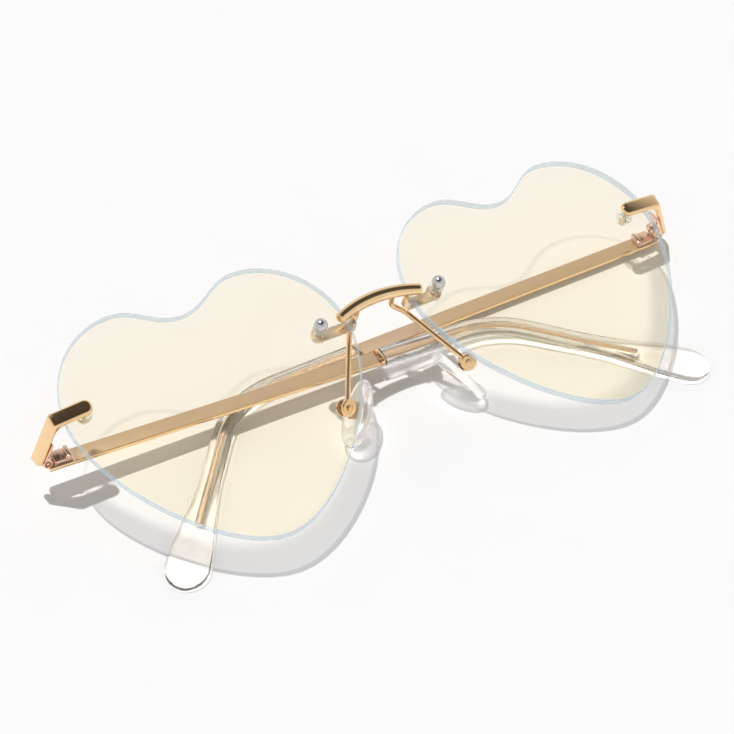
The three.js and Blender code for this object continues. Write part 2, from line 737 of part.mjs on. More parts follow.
// Nose pad, drawn about its middle: y up its length, z out toward the pad box, x along the pivot.
function padRing(height, scale) {
  const points = [];
  const sides = 24;
  for (let i = 0; i < sides; i += 1) {
    const angle = i / sides * 2 * Math.PI;
    const narrowing = 1 - 0.14 * Math.sin(angle);
    points.push(new THREE.Vector3(
      scale * narrowing * Math.cos(angle) * PAD_WIDTH / 2,
      scale * Math.sin(angle) * PAD_LENGTH / 2,
      height,
    ));
  }
  return points;
}

const padTop = PAD_THICKNESS / 2;
const footBottom = padTop - PAD_FOOT_THICKNESS;

function nosePad() {
  const body = loft([
    padRing(-padTop, 0.5),
    padRing(-0.78 * padTop, 0.78),
    padRing(-0.35 * padTop, 0.96),
    padRing(0.1 * padTop, 1),
    padRing(0.6 * padTop, 0.95),
    padRing(padTop, 0.8),
  ]);
  const halfWidth = PAD_FOOT_WIDTH / 2 + SEAT_GAP;
  const halfLength = PAD_FOOT_LENGTH / 2 + SEAT_GAP;
  const recess = box(-halfWidth, halfWidth, PAD_PIVOT_UP - halfLength, PAD_PIVOT_UP + halfLength,
    footBottom - SEAT_GAP, padTop + 1);
  return cut(body, recess);
}

function padMount() {
  const half = PAD_EYE_THICKNESS / 2;
  const foot = box(-PAD_FOOT_WIDTH / 2, PAD_FOOT_WIDTH / 2, PAD_PIVOT_UP - PAD_FOOT_LENGTH / 2,
    PAD_PIVOT_UP + PAD_FOOT_LENGTH / 2, footBottom, padTop);
  const neck = box(-half, half, PAD_PIVOT_UP - PAD_NECK_WIDTH / 2, PAD_PIVOT_UP + PAD_NECK_WIDTH / 2,
    padTop - 0.2, PAD_PIVOT_OUT);
  const eye = rod(PAD_EYE_RADIUS, -half, half, 20).rotateY(Math.PI / 2).translate(0, PAD_PIVOT_UP, PAD_PIVOT_OUT);
  const hole = rod(PAD_BORE, -3, 3).rotateY(Math.PI / 2).translate(0, PAD_PIVOT_UP, PAD_PIVOT_OUT);
  return cut(join(foot, neck, eye), hole);
}

function padScrew() {
  const seat = -PAD_BOX_SIDE - SEAT_GAP;
  const screw = turned([
    [0, seat - PAD_SCREW_HEAD_HEIGHT],
    [PAD_SCREW_HEAD * 0.8, seat - PAD_SCREW_HEAD_HEIGHT],
    [PAD_SCREW_HEAD, seat - PAD_SCREW_HEAD_HEIGHT * 0.5],
    [PAD_SCREW_HEAD, seat],
    [PAD_SCREW_RADIUS, seat],
    [PAD_SCREW_RADIUS, PAD_BOX_SIDE],
    [0, PAD_BOX_SIDE],
  ], 16);
  const slot = box(-0.1, 0.1, -2, 2, seat - PAD_SCREW_HEAD_HEIGHT - 1, seat - PAD_SCREW_HEAD_HEIGHT / 2);
  return cut(screw, slot).rotateY(Math.PI / 2).translate(0, PAD_PIVOT_UP, PAD_PIVOT_OUT);
}

// Wire from the back of the bridge down to the pad box, joined to the box.
function padArm() {
  const half = PAD_BOX_HALF;
  const round = 0.6;
  const outline = new THREE.Shape();
  outline.moveTo(-half, -half + round);
  outline.absarc(-half + round, -half + round, round, Math.PI, 1.5 * Math.PI);
  outline.absarc(half - round, -half + round, round, 1.5 * Math.PI, 2 * Math.PI);
  outline.absarc(half - round, half - PAD_BOX_WALL + PAD_BOX_TOP - round, round, 0, 0.5 * Math.PI);
  outline.absarc(-half + round, half - PAD_BOX_WALL + PAD_BOX_TOP - round, round, 0.5 * Math.PI, Math.PI);
  outline.closePath();
  const block = slab(outline, 2 * PAD_BOX_SIDE, 0.15, 4).rotateY(Math.PI / 2);
  const pocket = box(-PAD_SLOT, PAD_SLOT, -PAD_POCKET, PAD_POCKET, -half - 1, PAD_POCKET);
  const bore = rod(PAD_BORE, -3, 3).rotateY(Math.PI / 2);
  const padBox = cut(block, pocket, bore).translate(0, PAD_PIVOT_UP, PAD_PIVOT_OUT);

  const wireEnd = PAD_PIVOT_UP + PAD_POCKET + PAD_BOX_TOP / 2;
  const bridgeBack = bridgeEnd.z - BRIDGE_RADIUS - SEAT_GAP;
  const start = new THREE.Vector3(PAD_WIRE_X, bridgeHeightAt(PAD_WIRE_X), bridgeBack);
  const path = new THREE.CatmullRomCurve3([
    start,
    start.clone().add(new THREE.Vector3(0, 0, -PAD_WIRE_DROP)),
    PAD_WIRE_ELBOW,
    PAD_WIRE_KNEE,
    new THREE.Vector3(0, wireEnd + 2, PAD_PIVOT_OUT).applyMatrix4(padMatrix),
    new THREE.Vector3(0, wireEnd, PAD_PIVOT_OUT).applyMatrix4(padMatrix),
  ], false, 'centripetal');
  const section = new THREE.Shape();
  section.absarc(0, 0, PAD_WIRE_RADIUS, 0, 2 * Math.PI);
  const wire = new THREE.ExtrudeGeometry(section, {
    steps: 26,
    curveSegments: 5,
    extrudePath: path,
    bevelEnabled: false,
  });
  return join(padBox.applyMatrix4(padMatrix), wire);
}

function addMesh(group, name, geometry, material) {
  const shape = welded(geometry);
  shape.computeVertexNormals();
  const mesh = new THREE.Mesh(shape, new THREE.MeshStandardMaterial(material));
  mesh.name = name;
  group.add(mesh);
  return mesh;
}

function addGroup(parent, matrix) {
  const group = new THREE.Group();
  matrix.decompose(group.position, group.quaternion, group.scale);
  parent.add(group);
  return group;
}

// The matching place at the other end of the frame.
function forSide(matrix, side) {
  if (side > 0) {
    return matrix.clone();
  }
  const flip = new THREE.Matrix4().makeScale(-1, 1, 1);
  return flip.clone().multiply(matrix).multiply(flip);
}

// The left temple lies over the right one and comes down until its tip rests on the table.
const leftLine = templeLine(BEND_ANGLE_LEFT);
const rightLine = templeLine(BEND_ANGLE_RIGHT);
const tipReach = -leftLine.station(leftLine.tipEnd - TIP_ROUND).x;
const hingeRise = 2 * hingePoint.x * Math.sin(FOLD_RIGHT);
const FOLD_LEFT = Math.asin(hingeRise / tipReach) - FOLD_RIGHT;

const glasses = new THREE.Group();
const frame = new THREE.Group();
frame.rotation.y = FOLD_RIGHT;
glasses.add(frame);
const front = addGroup(frame, tiltMatrix);
addMesh(front, 'bridge', bridge(), gold);

const sides = [
  { label: 'left', side: -1, fold: FOLD_LEFT, lean: LEAN_LEFT, line: leftLine },
  { label: 'right', side: 1, fold: FOLD_RIGHT, lean: LEAN_RIGHT, line: rightLine },
];

for (const { label, side, fold, lean, line } of sides) {
  const put = (group, name, geometry, material) => {
    addMesh(group, `${label}_${name}`, side > 0 ? geometry : mirrored(geometry), material);
  };

  const lensGroup = addGroup(front, forSide(lensMatrix, side));
  put(lensGroup, 'lens', lens(), tint);
  put(lensGroup, 'bridge_lug', bridgeLug(), gold);

  const screwPlace = new THREE.Matrix4().setPosition(BRIDGE_SCREW_X, BRIDGE_SCREW_Y, 0);
  const screwGroup = addGroup(lensGroup, forSide(screwPlace, side));
  put(screwGroup, 'bridge_screw', bridgeScrew(), gold);
  put(screwGroup, 'bridge_nut', bridgeNut(), chrome);
  put(screwGroup, 'bridge_washer', bridgeWasher(), clear);

  const postPlace = new THREE.Matrix4().setPosition(END_POST_X, END_POST_Y, 0);
  const postGroup = addGroup(lensGroup, forSide(postPlace, side));
  put(postGroup, 'end_post', endPost(), gold);
  put(postGroup, 'end_bush', endBush(), clear);

  const endGroup = addGroup(lensGroup, forSide(endMatrix, side));
  put(endGroup, 'end_piece', endPiece(), gold);

  put(front, 'pad_arm', padArm(), gold);
  const padGroup = addGroup(front, forSide(padMatrix, side));
  put(padGroup, 'nose_pad', nosePad(), clear);
  put(padGroup, 'pad_mount', padMount(), darkGold);
  put(padGroup, 'pad_screw', padScrew(), gold);

  const hingePlace = turnMatrix(0, 0, lean, 'XYZ').setPosition(hingePoint);
  const hingeGroup = addGroup(frame, forSide(hingePlace, side));
  put(hingeGroup, 'hinge_block', hingeBlock(), gold);
  put(hingeGroup, 'hinge_screw', hingeScrew(), gold);

  const templeGroup = addGroup(hingeGroup, forSide(turnMatrix(0, -fold, 0, 'XYZ'), side));
  put(templeGroup, 'hinge_leaf', hingeLeaf(), gold);
  put(templeGroup, 'temple_bar', templeBar(line), satinGold);
  put(templeGroup, 'tip_collar', tipCollar(line), gold);
  put(templeGroup, 'temple_tip', templeTip(line), clear);
}

// Stand the origin under the middle of the part, on the table.
glasses.updateMatrixWorld(true);
const bounds = new THREE.Box3().setFromObject(glasses, true);
glasses.position.set(
  -(bounds.min.x + bounds.max.x) / 2,
  -(bounds.min.y + bounds.max.y) / 2,
  -bounds.min.z,
);
glasses.updateMatrixWorld(true);

export default glasses;
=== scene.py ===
# %% [markdown]
# # Heart-shaped eyeglasses on a white table
#
# The part is a pair of rimless glasses that lie folded, lens fronts up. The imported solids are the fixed
# frame: they give every place and size. This lesson gives them their finishes, replaces the pieces whose
# facets would show in polished metal or clear plastic, and lights the table as a small studio would.

# %% Load the frame
import json
import math

import bmesh
import bpy
from mathutils import Matrix, Vector


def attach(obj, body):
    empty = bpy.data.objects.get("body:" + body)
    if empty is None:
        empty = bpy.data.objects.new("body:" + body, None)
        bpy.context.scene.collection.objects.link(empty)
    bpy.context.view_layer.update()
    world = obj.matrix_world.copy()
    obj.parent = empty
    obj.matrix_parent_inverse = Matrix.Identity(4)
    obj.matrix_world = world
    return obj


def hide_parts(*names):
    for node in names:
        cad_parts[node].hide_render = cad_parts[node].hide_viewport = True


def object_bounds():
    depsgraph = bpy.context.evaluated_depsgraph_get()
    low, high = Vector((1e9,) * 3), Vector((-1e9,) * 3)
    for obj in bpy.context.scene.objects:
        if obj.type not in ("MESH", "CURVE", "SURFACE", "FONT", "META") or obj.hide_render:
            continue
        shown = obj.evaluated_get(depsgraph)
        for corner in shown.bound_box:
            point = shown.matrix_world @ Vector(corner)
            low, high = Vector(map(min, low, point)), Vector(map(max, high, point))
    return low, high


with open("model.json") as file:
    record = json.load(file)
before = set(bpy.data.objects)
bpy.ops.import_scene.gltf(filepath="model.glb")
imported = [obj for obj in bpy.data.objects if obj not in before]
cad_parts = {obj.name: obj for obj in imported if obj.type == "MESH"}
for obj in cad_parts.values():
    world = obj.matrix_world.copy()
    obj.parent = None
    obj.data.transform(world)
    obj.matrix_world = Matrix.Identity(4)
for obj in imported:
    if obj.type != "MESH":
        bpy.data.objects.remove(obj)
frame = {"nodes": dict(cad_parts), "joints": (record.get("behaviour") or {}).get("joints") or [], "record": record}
cad_box = [list(corner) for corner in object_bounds()]
MM = 0.001
SIDES = ("left", "right")
print("box of the solids in mm:", [[round(c / MM, 1) for c in corner] for corner in cad_box])

# %% [markdown]
# ## Camera
#
# The table is seen from the front left and above, with a long lens, so the two hearts hardly taper.
# A camera looks along its own -Z with +Y up, so its matrix is built from the right, up and back
# directions of the view. A Track To constraint could aim it too, but it couldn't hold the small roll.

# %% Camera
VIEW_PIXELS = 734
FOCAL_PIXELS = 2600
CAMERA_PLACE = Vector((-0.20041, -0.30317, 0.40575))
VIEW_RIGHT = Vector((0.86408, -0.50185, 0.03887))
VIEW_DOWN = Vector((-0.34853, -0.65223, -0.67314))
VIEW_FORWARD = Vector((0.36317, 0.56810, -0.73849))

camera_data = bpy.data.cameras.new("camera")
camera_data.sensor_width = 36.0
camera_data.lens = camera_data.sensor_width * FOCAL_PIXELS / VIEW_PIXELS
camera_data.clip_start = 0.01
camera = bpy.data.objects.new("camera", camera_data)
bpy.context.scene.collection.objects.link(camera)
turn = Matrix((VIEW_RIGHT, -VIEW_DOWN, -VIEW_FORWARD)).transposed()
camera.matrix_world = Matrix.Translation(CAMERA_PLACE) @ turn.to_4x4()
bpy.context.scene.camera = camera
print("camera lens in mm:", round(camera_data.lens, 1))

# %% [markdown]
# ## Light
#
# One small hard light stands behind and above the table, so the shadows fall toward the viewer with crisp
# rims. The room gives the rest: pale walls low down, and a dim ceiling that polished faces mirror as
# dark brown. A sky texture would tint everything, so the room is a plain ramp on the height of the ray.

# %% Light and room
LIGHT_TRAVEL = Vector((0.0743, -0.3623, -0.9291))
SUN_STRENGTH = 2.21
SUN_WIDTH = 1.3

sun_data = bpy.data.lights.new("key_light", "SUN")
sun_data.energy = SUN_STRENGTH
sun_data.angle = math.radians(SUN_WIDTH)
sun = bpy.data.objects.new("key_light", sun_data)
sun.rotation_euler = LIGHT_TRAVEL.to_track_quat("-Z", "Y").to_euler()
bpy.context.scene.collection.objects.link(sun)

world = bpy.data.worlds.new("studio_room")
bpy.context.scene.world = world
world.use_nodes = True
room = world.node_tree
room.nodes.clear()
room_out = room.nodes.new("ShaderNodeOutputWorld")
room_back = room.nodes.new("ShaderNodeBackground")
room_ramp = room.nodes.new("ShaderNodeValToRGB")
room_split = room.nodes.new("ShaderNodeSeparateXYZ")
room_ray = room.nodes.new("ShaderNodeTexCoord")
room.links.new(room_ray.outputs["Generated"], room_split.inputs[0])
room.links.new(room_split.outputs["Z"], room_ramp.inputs["Fac"])
room.links.new(room_ramp.outputs["Color"], room_back.inputs["Color"])
room.links.new(room_back.outputs[0], room_out.inputs["Surface"])
ROOM_STEPS = ((0.0, 0.69), (0.30, 0.78), (0.60, 0.78), (0.70, 0.42), (0.78, 0.10), (1.0, 0.06))
stops = room_ramp.color_ramp.elements
while len(stops) < len(ROOM_STEPS):
    stops.new(0.5)
for stop, (height, grey) in zip(stops, ROOM_STEPS):
    stop.position = height
    stop.color = (grey, grey, grey, 1)

view = bpy.context.scene.view_settings
view.view_transform = "Standard"
view.look = "None"
print("room steps:", len(ROOM_STEPS), "light from", [round(-c, 2) for c in LIGHT_TRAVEL])

# %% [markdown]
# ## Node helpers
#
# Every finish is made of the same few moves: a noise on Object coordinates, a ramp that turns the noise
# into colours or roughness, and a bump. Object coordinates stay fixed to the piece when it turns, and the
# pieces sit at the origin, so the patterns are in metres.

# %% Node helpers
def new_finish(name):
    finish = bpy.data.materials.new(name)
    finish.use_nodes = True
    tree = finish.node_tree
    shader = tree.nodes["Principled BSDF"]
    return finish, tree, shader


def place_on_piece(tree, stretch=(1, 1, 1)):
    coords = tree.nodes.new("ShaderNodeTexCoord")
    mapping = tree.nodes.new("ShaderNodeMapping")
    mapping.inputs["Scale"].default_value = stretch
    tree.links.new(coords.outputs["Object"], mapping.inputs["Vector"])
    return mapping.outputs["Vector"]


def cloud(tree, place, scale, detail=3.0, rough=0.55):
    noise = tree.nodes.new("ShaderNodeTexNoise")
    noise.inputs["Scale"].default_value = scale
    noise.inputs["Detail"].default_value = detail
    noise.inputs["Roughness"].default_value = rough
    tree.links.new(place, noise.inputs["Vector"])
    return noise.outputs["Fac"]


def ramp(tree, value, stops):
    node = tree.nodes.new("ShaderNodeValToRGB")
    elements = node.color_ramp.elements
    while len(elements) < len(stops):
        elements.new(0.5)
    for element, (position, colour) in zip(elements, stops):
        element.position = position
        element.color = (*colour, 1)
    tree.links.new(value, node.inputs["Fac"])
    return node.outputs["Color"]


def spread(tree, value, low, high, start=0.3, end=0.7):
    node = tree.nodes.new("ShaderNodeMapRange")
    node.inputs["From Min"].default_value = start
    node.inputs["From Max"].default_value = end
    node.inputs["To Min"].default_value = low
    node.inputs["To Max"].default_value = high
    tree.links.new(value, node.inputs["Value"])
    return node.outputs["Result"]


def bump(tree, shader, value, strength, distance):
    node = tree.nodes.new("ShaderNodeBump")
    node.inputs["Strength"].default_value = strength
    node.inputs["Distance"].default_value = distance
    tree.links.new(value, node.inputs["Height"])
    tree.links.new(node.outputs["Normal"], shader.inputs["Normal"])


print("node helpers ready")

# %% [markdown]
# ## Table
#
# The table is a white sheet with a faint unevenness. It is stage, not part of the object.

# %% Table
TABLE_HALF = 3.0

sheet = bmesh.new()
bmesh.ops.create_grid(sheet, x_segments=1, y_segments=1, size=TABLE_HALF)
table_mesh = bpy.data.meshes.new("table")
sheet.to_mesh(table_mesh)
sheet.free()
table = bpy.data.objects.new("table", table_mesh)
table.location.z = cad_box[0][2] - 0.05 * MM
bpy.context.scene.collection.objects.link(table)
table_finish, tree, shader = new_finish("white_table")
grain = cloud(tree, place_on_piece(tree), 60.0)
table_stops = ((0.3, (0.905, 0.900, 0.905)), (0.7, (0.915, 0.910, 0.915)))
tree.links.new(ramp(tree, grain, table_stops), shader.inputs["Base Color"])
shader.inputs["Roughness"].default_value = 0.9
shader.inputs["Specular IOR Level"].default_value = 0.1
table_mesh.materials.append(table_finish)
print("table half width in m:", TABLE_HALF)

# %% [markdown]
# ## Polished gold
#
# The bridge, end pieces, wires and screws are plated and polished. A metal's colour is the tint of its
# mirror, so the base colour is gold, Metallic is 1 and roughness stays low. A faint slow cloud keeps the
# plating from being one flat colour, and a fine cloud gives the thin haze of handling.

# %% Polished gold
gold_finish, tree, shader = new_finish("polished_gold")
slow = cloud(tree, place_on_piece(tree), 180.0, detail=2.0)
gold_stops = ((0.3, (0.95, 0.64, 0.34)), (0.7, (0.98, 0.71, 0.42)))
tree.links.new(ramp(tree, slow, gold_stops), shader.inputs["Base Color"])
haze = cloud(tree, place_on_piece(tree), 900.0, detail=4.0)
tree.links.new(spread(tree, haze, 0.04, 0.09), shader.inputs["Roughness"])
bump(tree, shader, haze, 0.08, 0.00003)
shader.inputs["Metallic"].default_value = 1.0
print("finish:", gold_finish.name)

# %% [markdown]
# ## Satin gold
#
# The temple bars are brushed along their length. Stretching the noise along the bar gives fine lines for
# the bump, and a much slower noise drifts the colour between a rosy and a golden tan.

# %% Satin gold
satin_finish, tree, shader = new_finish("satin_gold")
drift = cloud(tree, place_on_piece(tree), 70.0, detail=1.0)
satin_stops = ((0.35, (0.47, 0.322, 0.205)), (0.52, (0.49, 0.345, 0.205)), (0.68, (0.48, 0.328, 0.235)))
tree.links.new(ramp(tree, drift, satin_stops), shader.inputs["Base Color"])
lines = cloud(tree, place_on_piece(tree, (0.04, 1.0, 1.0)), 4200.0, detail=2.0)
tree.links.new(spread(tree, lines, 0.40, 0.50), shader.inputs["Roughness"])
bump(tree, shader, lines, 0.12, 0.00002)
shader.inputs["Metallic"].default_value = 0.2
print("finish:", satin_finish.name)

# %% [markdown]
# ## Champagne plating
#
# The flat lugs under the bridge are plated paler than the bars and polished, so they pick up the room.

# %% Champagne plating
pale_finish, tree, shader = new_finish("champagne")
slow = cloud(tree, place_on_piece(tree), 300.0, detail=2.0)
pale_stops = ((0.3, (0.90, 0.74, 0.56)), (0.7, (0.95, 0.82, 0.66)))
tree.links.new(ramp(tree, slow, pale_stops), shader.inputs["Base Color"])
tree.links.new(spread(tree, slow, 0.12, 0.22), shader.inputs["Roughness"])
shader.inputs["Metallic"].default_value = 0.6
print("finish:", pale_finish.name)

# %% [markdown]
# ## Dull gold and chrome
#
# The tab inside each nose pad has only a thin dull plating. The two ball nuts on the front are chrome, and
# a little rough: a sharp mirror would show the ceiling as a dark spot, and the ball would look hollow.

# %% Dull gold and chrome
dull_finish, tree, shader = new_finish("dull_gold")
slow = cloud(tree, place_on_piece(tree), 500.0)
dull_stops = ((0.3, (0.42, 0.27, 0.14)), (0.7, (0.55, 0.37, 0.20)))
tree.links.new(ramp(tree, slow, dull_stops), shader.inputs["Base Color"])
tree.links.new(spread(tree, slow, 0.25, 0.4), shader.inputs["Roughness"])
shader.inputs["Metallic"].default_value = 1.0

chrome_finish, tree, shader = new_finish("chrome")
slow = cloud(tree, place_on_piece(tree), 700.0)
chrome_stops = ((0.3, (0.58, 0.58, 0.60)), (0.7, (0.68, 0.68, 0.70)))
tree.links.new(ramp(tree, slow, chrome_stops), shader.inputs["Base Color"])
tree.links.new(spread(tree, slow, 0.22, 0.28), shader.inputs["Roughness"])
shader.inputs["Metallic"].default_value = 1.0
print("finishes:", dull_finish.name, chrome_finish.name)

# %% [markdown]
# ## Rose gold
#
# The hinge knuckles are plated pinker than the bars and stay bright, because fingers don't reach them.

# %% Rose gold
rose_finish, tree, shader = new_finish("rose_gold")
slow = cloud(tree, place_on_piece(tree), 400.0)
rose_stops = ((0.3, (0.86, 0.56, 0.42)), (0.7, (0.92, 0.66, 0.52)))
tree.links.new(ramp(tree, slow, rose_stops), shader.inputs["Base Color"])
tree.links.new(spread(tree, slow, 0.08, 0.16), shader.inputs["Roughness"])
shader.inputs["Metallic"].default_value = 1.0
print("finish:", rose_finish.name)

# %% [markdown]
# ## Clear plastic
#
# The nose pads, washers and temple tips are clear. Glass alone would cast a black shadow, because the path
# tracer doesn't send lamp light through it, so rays from lamps meet a tinted Transparent shader instead.
# It is clear where the lamp strikes square and dark where it grazes, so a round tip has a bright line in
# the middle of its shadow, as a real clear rod has. The soft pads scatter light inside, and a weak glow
# stands for that, because a path through so many small bounces would stay dark.

# %% Clear plastic
def clear_finish(name, tint_stops, rough, wave_scale, wave_strength, shade, glassy=1.0):
    finish, tree, shader = new_finish(name)
    slow = cloud(tree, place_on_piece(tree), 160.0, detail=2.0)
    tree.links.new(ramp(tree, slow, tint_stops), shader.inputs["Base Color"])
    tree.links.new(spread(tree, slow, rough, rough + 0.04), shader.inputs["Roughness"])
    bump(tree, shader, cloud(tree, place_on_piece(tree), wave_scale, detail=1.0), wave_strength, 0.0002)
    shader.inputs["Transmission Weight"].default_value = glassy
    shader.inputs["IOR"].default_value = 1.42
    lamp_ray = tree.nodes.new("ShaderNodeLightPath")
    lamp_pass = tree.nodes.new("ShaderNodeBsdfTransparent")
    graze = tree.nodes.new("ShaderNodeLayerWeight")
    graze.inputs["Blend"].default_value = 0.5
    square, skim = shade
    shade_stops = ((0.12, (square,) * 3), (0.45, (skim,) * 3))
    tree.links.new(ramp(tree, graze.outputs["Facing"], shade_stops), lamp_pass.inputs["Color"])
    either = tree.nodes.new("ShaderNodeMixShader")
    tree.links.new(lamp_ray.outputs["Is Shadow Ray"], either.inputs["Fac"])
    tree.links.new(shader.outputs["BSDF"], either.inputs[1])
    tree.links.new(lamp_pass.outputs["BSDF"], either.inputs[2])
    tree.links.new(either.outputs["Shader"], tree.nodes["Material Output"].inputs["Surface"])
    return finish


TIP_TINT = ((0.3, (0.80, 0.78, 0.74)), (0.7, (0.86, 0.83, 0.80)))
PAD_TINT = ((0.3, (0.95, 0.95, 0.95)), (0.7, (0.99, 0.98, 0.97)))
WASHER_TINT = ((0.3, (0.93, 0.95, 0.92)), (0.7, (0.98, 0.98, 0.96)))
tip_finish = clear_finish("clear_tip", TIP_TINT, 0.02, 120.0, 0.10, (0.86, 0.42), 0.95)
pad_finish = clear_finish("clear_pad", PAD_TINT, 0.02, 260.0, 0.12, (0.80, 0.50), 0.88)
glow = pad_finish.node_tree.nodes["Principled BSDF"]
glow.inputs["Emission Color"].default_value = (1.0, 0.99, 0.98, 1)
glow.inputs["Emission Strength"].default_value = 0.06
washer_finish = clear_finish("clear_washer", WASHER_TINT, 0.02, 300.0, 0.05, (0.85, 0.65), 0.85)
print("finishes:", tip_finish.name, pad_finish.name, washer_finish.name)

# %% [markdown]
# ## Where new pieces go
#
# The front of the glasses is tilted 14 degrees up from the table and rolled 2 degrees, so pieces of the
# front are modelled level, for the right side, and then one matrix puts them in place. The left side is
# the same matrix after a mirror.

# %% Places
FRONT_TILT = math.radians(14.0)
FRONT_ROLL = math.radians(2.0)
LENS_OUT = 39.1
LENS_WRAP = 3.9
LENS_TURN = 2.3

FRONT = (
    Matrix.Translation(Vector((0.268, -0.331, 13.787)) * MM)
    @ Matrix.Rotation(FRONT_ROLL, 4, "Y")
    @ Matrix.Rotation(FRONT_TILT, 4, "X"))
PLACE = {"right": FRONT, "left": FRONT @ Matrix.Scale(-1, 4, (1, 0, 0))}


def lens_place(hand):
    return (
        Matrix.Translation(Vector((LENS_OUT * hand, 0, 0)) * MM)
        @ Matrix.Rotation(math.radians(LENS_WRAP * hand), 4, "Y")
        @ Matrix.Rotation(math.radians(LENS_TURN * hand), 4, "Z"))


LENS_PLACE = lens_place(1)
PAD_PLACE = (
    Matrix.Translation(Vector((12.2, -7.7, -6.2)) * MM)
    @ Matrix.Rotation(math.radians(22.0), 4, "Z")
    @ Matrix.Rotation(math.radians(60.0), 4, "Y")
    @ Matrix.Rotation(math.radians(28.0), 4, "Z"))

print("front tilt and roll set, places:", len(PLACE))

# %% [markdown]
# ## Lens tint
#
# The lenses are flat sheets, so they don't bend what is behind them: a tinted Transparent shader is enough
# for the face, with a little gloss on top. The tint deepens toward the point. The cut edge scatters light
# and looks pale blue, so a mask on the normal, which lies in the sheet's plane there, gives it a finish
# of its own, with a weak painted glow that brightens it. Rays from the lamp meet a deeper tint, and a
# darker cut edge, in a zone along the lower rim, the same on both lenses, so the table gets a grey shadow
# below and stays bright behind the rest. A plain evenly tinted sheet would grey all of the table behind it.

# %% Lens tint
LENS_FLAT = {"left": FRONT @ lens_place(-1), "right": FRONT @ lens_place(1)}
LOWEST_POINT = 0.0292
RIM_BOW = 33.5
ZONE_FULL = 0.0078
ZONE_END = 0.0122
LENS_HALF_HEIGHT = 0.028
LENS_FACE_DEPTH = (
    (0.0, (0.990, 0.966, 0.890)),
    (0.55, (0.991, 0.966, 0.898)),
    (1.0, (0.987, 0.966, 0.916)))


def calculate(tree, operation, first, second=None):
    node = tree.nodes.new("ShaderNodeMath")
    node.operation = operation
    for socket, value in zip(node.inputs, (first, second)):
        if value is None:
            continue
        if isinstance(value, (int, float)):
            socket.default_value = value
        else:
            tree.links.new(value, socket)
    return node.outputs[0]


def edge_mask(tree, side):
    facing = tree.nodes.new("ShaderNodeVectorMath")
    facing.operation = "DOT_PRODUCT"
    facing.inputs[1].default_value = LENS_FLAT[side].col[2].xyz
    own_normal = tree.nodes.new("ShaderNodeTexCoord")
    tree.links.new(own_normal.outputs["Normal"], facing.inputs[0])
    return spread(tree, calculate(tree, "ABSOLUTE", facing.outputs["Value"]), 1.0, 0.0, 0.80, 0.95)


def place_on_lens(tree, side):
    coords = tree.nodes.new("ShaderNodeTexCoord")
    mapping = tree.nodes.new("ShaderNodeMapping")
    mapping.vector_type = "TEXTURE"
    mapping.inputs["Location"].default_value = LENS_FLAT[side].to_translation()
    mapping.inputs["Rotation"].default_value = LENS_FLAT[side].to_euler()
    tree.links.new(coords.outputs["Object"], mapping.inputs["Vector"])
    split = tree.nodes.new("ShaderNodeSeparateXYZ")
    tree.links.new(mapping.outputs["Vector"], split.inputs[0])
    return split


def lower_zone(tree, split):
    bow = calculate(tree, "MULTIPLY", split.outputs["X"], split.outputs["X"])
    rim = calculate(tree, "SUBTRACT", calculate(tree, "MULTIPLY", bow, RIM_BOW), LOWEST_POINT)
    above_rim = calculate(tree, "SUBTRACT", split.outputs["Y"], rim)
    return spread(tree, above_rim, 1.0, 0.0, ZONE_FULL, ZONE_END)


